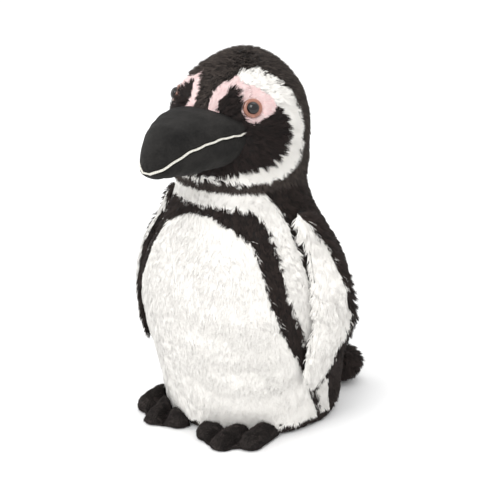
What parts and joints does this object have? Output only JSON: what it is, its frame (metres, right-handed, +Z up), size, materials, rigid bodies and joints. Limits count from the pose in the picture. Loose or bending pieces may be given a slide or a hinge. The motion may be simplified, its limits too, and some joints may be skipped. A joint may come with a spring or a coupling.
{
  "type": "plush penguin",
  "caption": "Stuffed toy penguin standing on a flat weighted base, with a turning head, hinged flippers, padded feet and a stub tail.",
  "frame": {"origin": "centre of the flat underside of the base, on the floor", "axes": "+Z up, the toy faces -Y, its own left is +X"},
  "size_m": [0.1996, 0.2103, 0.2854],
  "materials": {
    "black_plush": "short dark pile",
    "white_plush": "long warm white pile",
    "pink_plush": "short pale pink pile",
    "velour": "dark velour",
    "piping": "pale woven cloth",
    "stuffing": "polyester fibre",
    "pouch_cloth": "woven pouch of pellets",
    "eye_black": "polished",
    "iris_plastic": "satin",
    "washer_plastic": "natural"
  },
  "bodies": {
    "trunk": {"body_fill": "stuffing", "pellet_bag": "pouch_cloth", "base_panel": "black_plush", "belly_panel": "white_plush", "chest_band_black": "black_plush", "chest_band_white": "white_plush", "back_panel_left": "black_plush", "back_panel_right": "black_plush"},
    "head": {"crown_panel": "black_plush", "brow_band_left": "white_plush", "brow_band_right": "white_plush", "eye_patch_left": "pink_plush", "eye_patch_right": "pink_plush", "cheek_panel_left": "black_plush", "cheek_panel_right": "black_plush", "head_fill": "stuffing", "beak_upper": "velour", "beak_lower": "velour", "mouth_line": "piping", "beak_fill": "stuffing", "eye_left": "eye_black", "eye_right": "eye_black", "iris_left": "iris_plastic", "iris_right": "iris_plastic", "eye_washer_left": "washer_plastic", "eye_washer_right": "washer_plastic"},
    "flipper_left": {"flipper_left_white": "white_plush", "flipper_left_black": "black_plush", "flipper_left_batting": "stuffing"},
    "flipper_right": {"flipper_right_white": "white_plush", "flipper_right_black": "black_plush", "flipper_right_batting": "stuffing"},
    "foot_left": {"foot_left_upper": "velour", "foot_left_sole": "velour", "foot_left_fill": "stuffing"},
    "foot_right": {"foot_right_upper": "velour", "foot_right_sole": "velour", "foot_right_fill": "stuffing"},
    "tail": {"tail_cover": "black_plush", "tail_fill": "stuffing"}
  },
  "joints": [
    {"name": "head_turn", "type": "hinge", "parent": "trunk", "child": "head", "pos_m": [0, -0.015, 0.1895], "axis": [0, 0, 1], "range_deg": [-20, 20], "stiffness_Nm_per_rad": 0.05},
    {"name": "flipper_left_raise", "type": "hinge", "parent": "trunk", "child": "flipper_left", "pos_m": [0.057, -0.018, 0.1725], "axis": [0, -1, 0], "range_deg": [0, 75]},
    {"name": "flipper_right_raise", "type": "hinge", "parent": "trunk", "child": "flipper_right", "pos_m": [-0.057, -0.018, 0.1725], "axis": [0, 1, 0], "range_deg": [0, 75]},
    {"name": "foot_left_lift", "type": "hinge", "parent": "trunk", "child": "foot_left", "pos_m": [0.031, -0.0555, 0.0145], "axis": [-0.8711, -0.4911, 0], "range_deg": [0, 18], "stiffness_Nm_per_rad": 0.05},
    {"name": "foot_right_lift", "type": "hinge", "parent": "trunk", "child": "foot_right", "pos_m": [-0.036, -0.0515, 0.0145], "axis": [-0.8168, 0.5769, 0], "range_deg": [0, 18], "stiffness_Nm_per_rad": 0.05},
    {"name": "tail_swing", "type": "hinge", "parent": "trunk", "child": "tail", "pos_m": [0.0262, 0.0624, 0.015], "axis": [0, 0, 1], "range_deg": [-9, 9], "stiffness_Nm_per_rad": 0.02}
  ]
}
